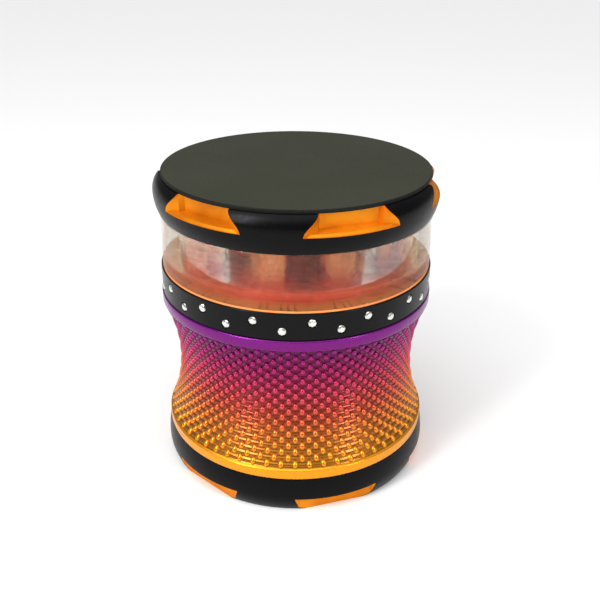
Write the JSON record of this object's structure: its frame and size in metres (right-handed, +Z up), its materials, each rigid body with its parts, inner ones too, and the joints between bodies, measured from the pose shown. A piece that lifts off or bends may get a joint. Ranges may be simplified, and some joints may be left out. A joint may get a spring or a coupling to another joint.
{
  "type": "herb grinder",
  "caption": "Hand-held screw-together herb grinder: a bulged lid with finger notches, a clear window ring, a stone-set collar, a waisted textured drum and a notched catch cup.",
  "frame": {"origin": "centre of the flat bottom face, on the grinder's axis", "axes": "+Z up along the axis through the lid; the front faces -Y"},
  "size_m": [0.063, 0.063, 0.0702],
  "materials": {
    "black_metal": "deep gloss black",
    "top_disc": "flat matt dark olive grey",
    "orange_metal": "orange anodised, satin",
    "clear_wall": "clear acrylic with a pale yellow-green tint",
    "orange_rubber": "soft satin",
    "stone": "foil-backed cut glass, silver-white",
    "sleeve": "metallised gradient, purple above through magenta and coral to gold below",
    "black_rubber": "satin",
    "steel": "fine satin",
    "nickel": "bright nickel plate",
    "slip_plastic": "natural white acetal"
  },
  "bodies": {
    "base": {"base_bottom_disc": "top_disc", "base_cup": "black_metal"},
    "lower_seal": {"lower_thread_seal": "black_rubber"},
    "drum": {"drum_body": "orange_metal", "drum_sleeve": "sleeve", "sieve_frame": "steel", "sieve_screen": "steel", "sieve_retainer": "steel"},
    "upper_seal": {"upper_thread_seal": "black_rubber"},
    "chamber": {"tooth_plate": "orange_metal", "plate_magnet": "nickel", "stone_collar": "black_metal", "rhinestones_upper": "stone", "rhinestones_lower": "stone", "window_gasket": "orange_rubber", "window_ring": "clear_wall"},
    "slip_ring": {"friction_ring": "slip_plastic"},
    "lid": {"lid_shell": "black_metal", "lid_top_disc": "top_disc", "lid_tooth_plate": "orange_metal", "lid_magnet": "nickel"}
  },
  "joints": [
    {"name": "drum_rise", "type": "slide", "parent": "base", "child": "lower_seal", "axis": [0, 0, 1], "range_m": [0, 0.00321]},
    {"name": "drum_unscrew", "type": "hinge", "parent": "lower_seal", "child": "drum", "pos_m": [0, 0, 0.0086], "axis": [0, 0, 1], "range_deg": [0, 720]},
    {"name": "chamber_rise", "type": "slide", "parent": "drum", "child": "upper_seal", "axis": [0, 0, 1], "range_m": [0, 0.00401]},
    {"name": "chamber_unscrew", "type": "hinge", "parent": "upper_seal", "child": "chamber", "pos_m": [0, 0, 0.043], "axis": [0, 0, 1], "range_deg": [0, 900]},
    {"name": "lid_lift", "type": "slide", "parent": "chamber", "child": "slip_ring", "axis": [0, 0, 1], "range_m": [0, 0.03]},
    {"name": "lid_turn", "type": "hinge", "parent": "slip_ring", "child": "lid", "pos_m": [0, 0, 0.0614], "axis": [0, 0, 1], "continuous": true}
  ],
  "couplings": [
    {"joint": "drum_rise", "follows": "drum_unscrew", "m_per_rad": 0.00025465},
    {"joint": "chamber_rise", "follows": "chamber_unscrew", "m_per_rad": 0.00025465}
  ]
}
